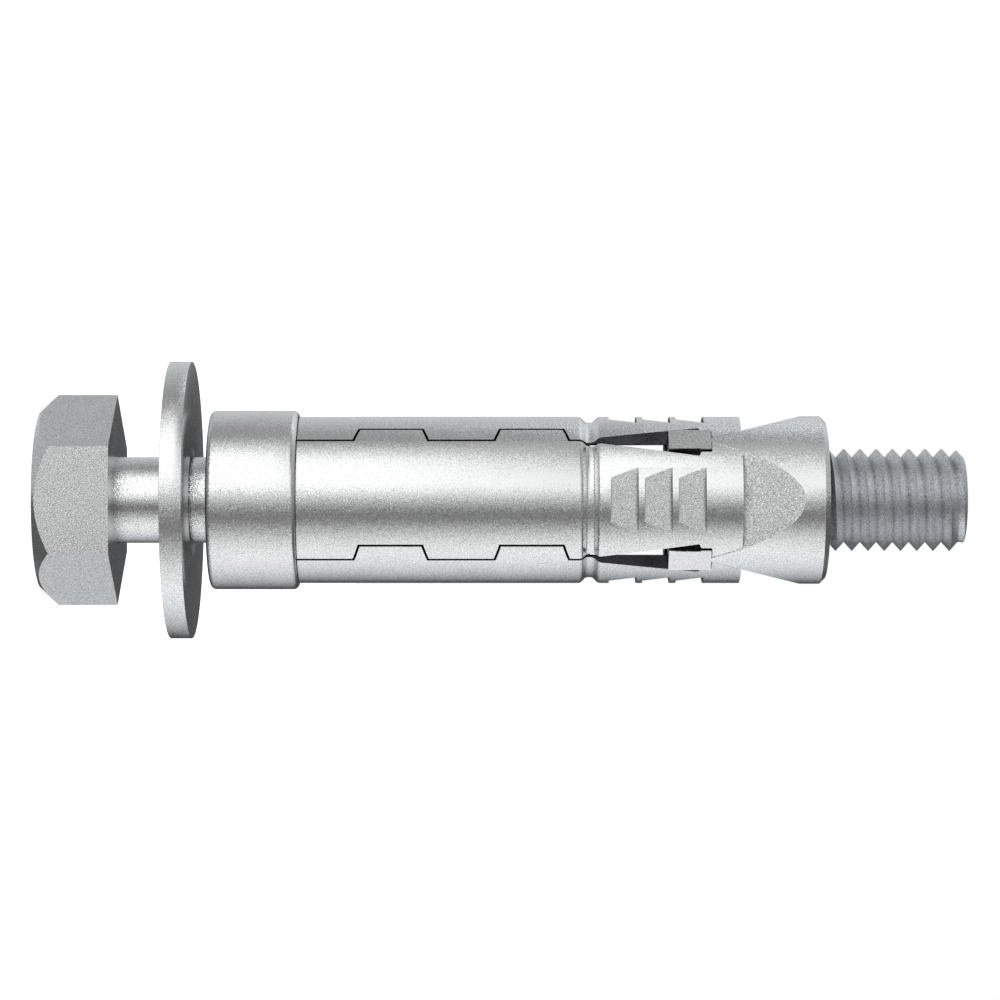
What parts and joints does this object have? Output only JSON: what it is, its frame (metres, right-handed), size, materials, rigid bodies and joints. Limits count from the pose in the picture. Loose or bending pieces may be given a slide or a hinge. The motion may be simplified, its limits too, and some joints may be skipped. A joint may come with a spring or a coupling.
{
  "type": "expansion anchor",
  "caption": "Sleeve expansion anchor: a hexagon bolt draws a cone nut into a slotted shield of interlocking segments held by a collar, with a loose washer under the head.",
  "frame": {"origin": "centre of the top face of the bolt's head, which is the face the anchor stands on", "axes": "+Z runs along the bolt from its head to the end of its thread; -Y is the front, faced by one hexagon flat and by segment_1; hexagon corners lie on X"},
  "size_m": [0.0212, 0.0212, 0.0708],
  "materials": {
    "hex_bolt": "matt zinc plated steel with a fine blasted grain",
    "washer": "matt zinc plated steel with a fine blasted grain",
    "collar": "matt zinc plated steel with a fine blasted grain",
    "cone_nut": "matt zinc plated steel with a fine blasted grain",
    "segment_1": "matt zinc plated steel with a fine blasted grain",
    "segment_2": "matt zinc plated steel with a fine blasted grain",
    "segment_3": "matt zinc plated steel with a fine blasted grain",
    "segment_4": "matt zinc plated steel with a fine blasted grain"
  },
  "bodies": {
    "bolt": {"hex_bolt": "hex_bolt"},
    "loose_washer": {"washer": "washer"},
    "sleeve": {"collar": "collar"},
    "nut": {"cone_nut": "cone_nut"},
    "leaf_1": {"segment_1": "segment_1"},
    "leaf_2": {"segment_2": "segment_2"},
    "leaf_3": {"segment_3": "segment_3"},
    "leaf_4": {"segment_4": "segment_4"}
  },
  "joints": [
    {"name": "washer_slide", "type": "slide", "parent": "bolt", "child": "loose_washer", "axis": [0, 0, 1], "range_m": [-0.00407, 0.00139]},
    {"name": "sleeve_turn", "type": "hinge", "parent": "bolt", "child": "sleeve", "pos_m": [0, 0, 0.01304], "axis": [0, 0, -1], "range_deg": [0, 864]},
    {"name": "nut_draw", "type": "slide", "parent": "sleeve", "child": "nut", "axis": [0, 0, -1], "range_m": [0, 0.003]},
    {"name": "leaf_1_spread", "type": "hinge", "parent": "sleeve", "child": "leaf_1", "pos_m": [0, -0.00594, 0.0139], "axis": [1, 0, 0], "range_deg": [0, 1.22]},
    {"name": "leaf_2_spread", "type": "hinge", "parent": "sleeve", "child": "leaf_2", "pos_m": [0.00594, 0, 0.0139], "axis": [0, 1, 0], "range_deg": [0, 1.22]},
    {"name": "leaf_3_spread", "type": "hinge", "parent": "sleeve", "child": "leaf_3", "pos_m": [0, 0.00594, 0.0139], "axis": [-1, 0, 0], "range_deg": [0, 1.22]},
    {"name": "leaf_4_spread", "type": "hinge", "parent": "sleeve", "child": "leaf_4", "pos_m": [-0.00594, 0, 0.0139], "axis": [0, -1, 0], "range_deg": [0, 1.22]}
  ],
  "couplings": [
    {"joint": "nut_draw", "follows": "sleeve_turn", "m_per_rad": 0.00019894},
    {"joint": "leaf_1_spread", "follows": "sleeve_turn", "ratio": 0.0014061},
    {"joint": "leaf_2_spread", "follows": "sleeve_turn", "ratio": 0.0014061},
    {"joint": "leaf_3_spread", "follows": "sleeve_turn", "ratio": 0.0014061},
    {"joint": "leaf_4_spread", "follows": "sleeve_turn", "ratio": 0.0014061}
  ]
}
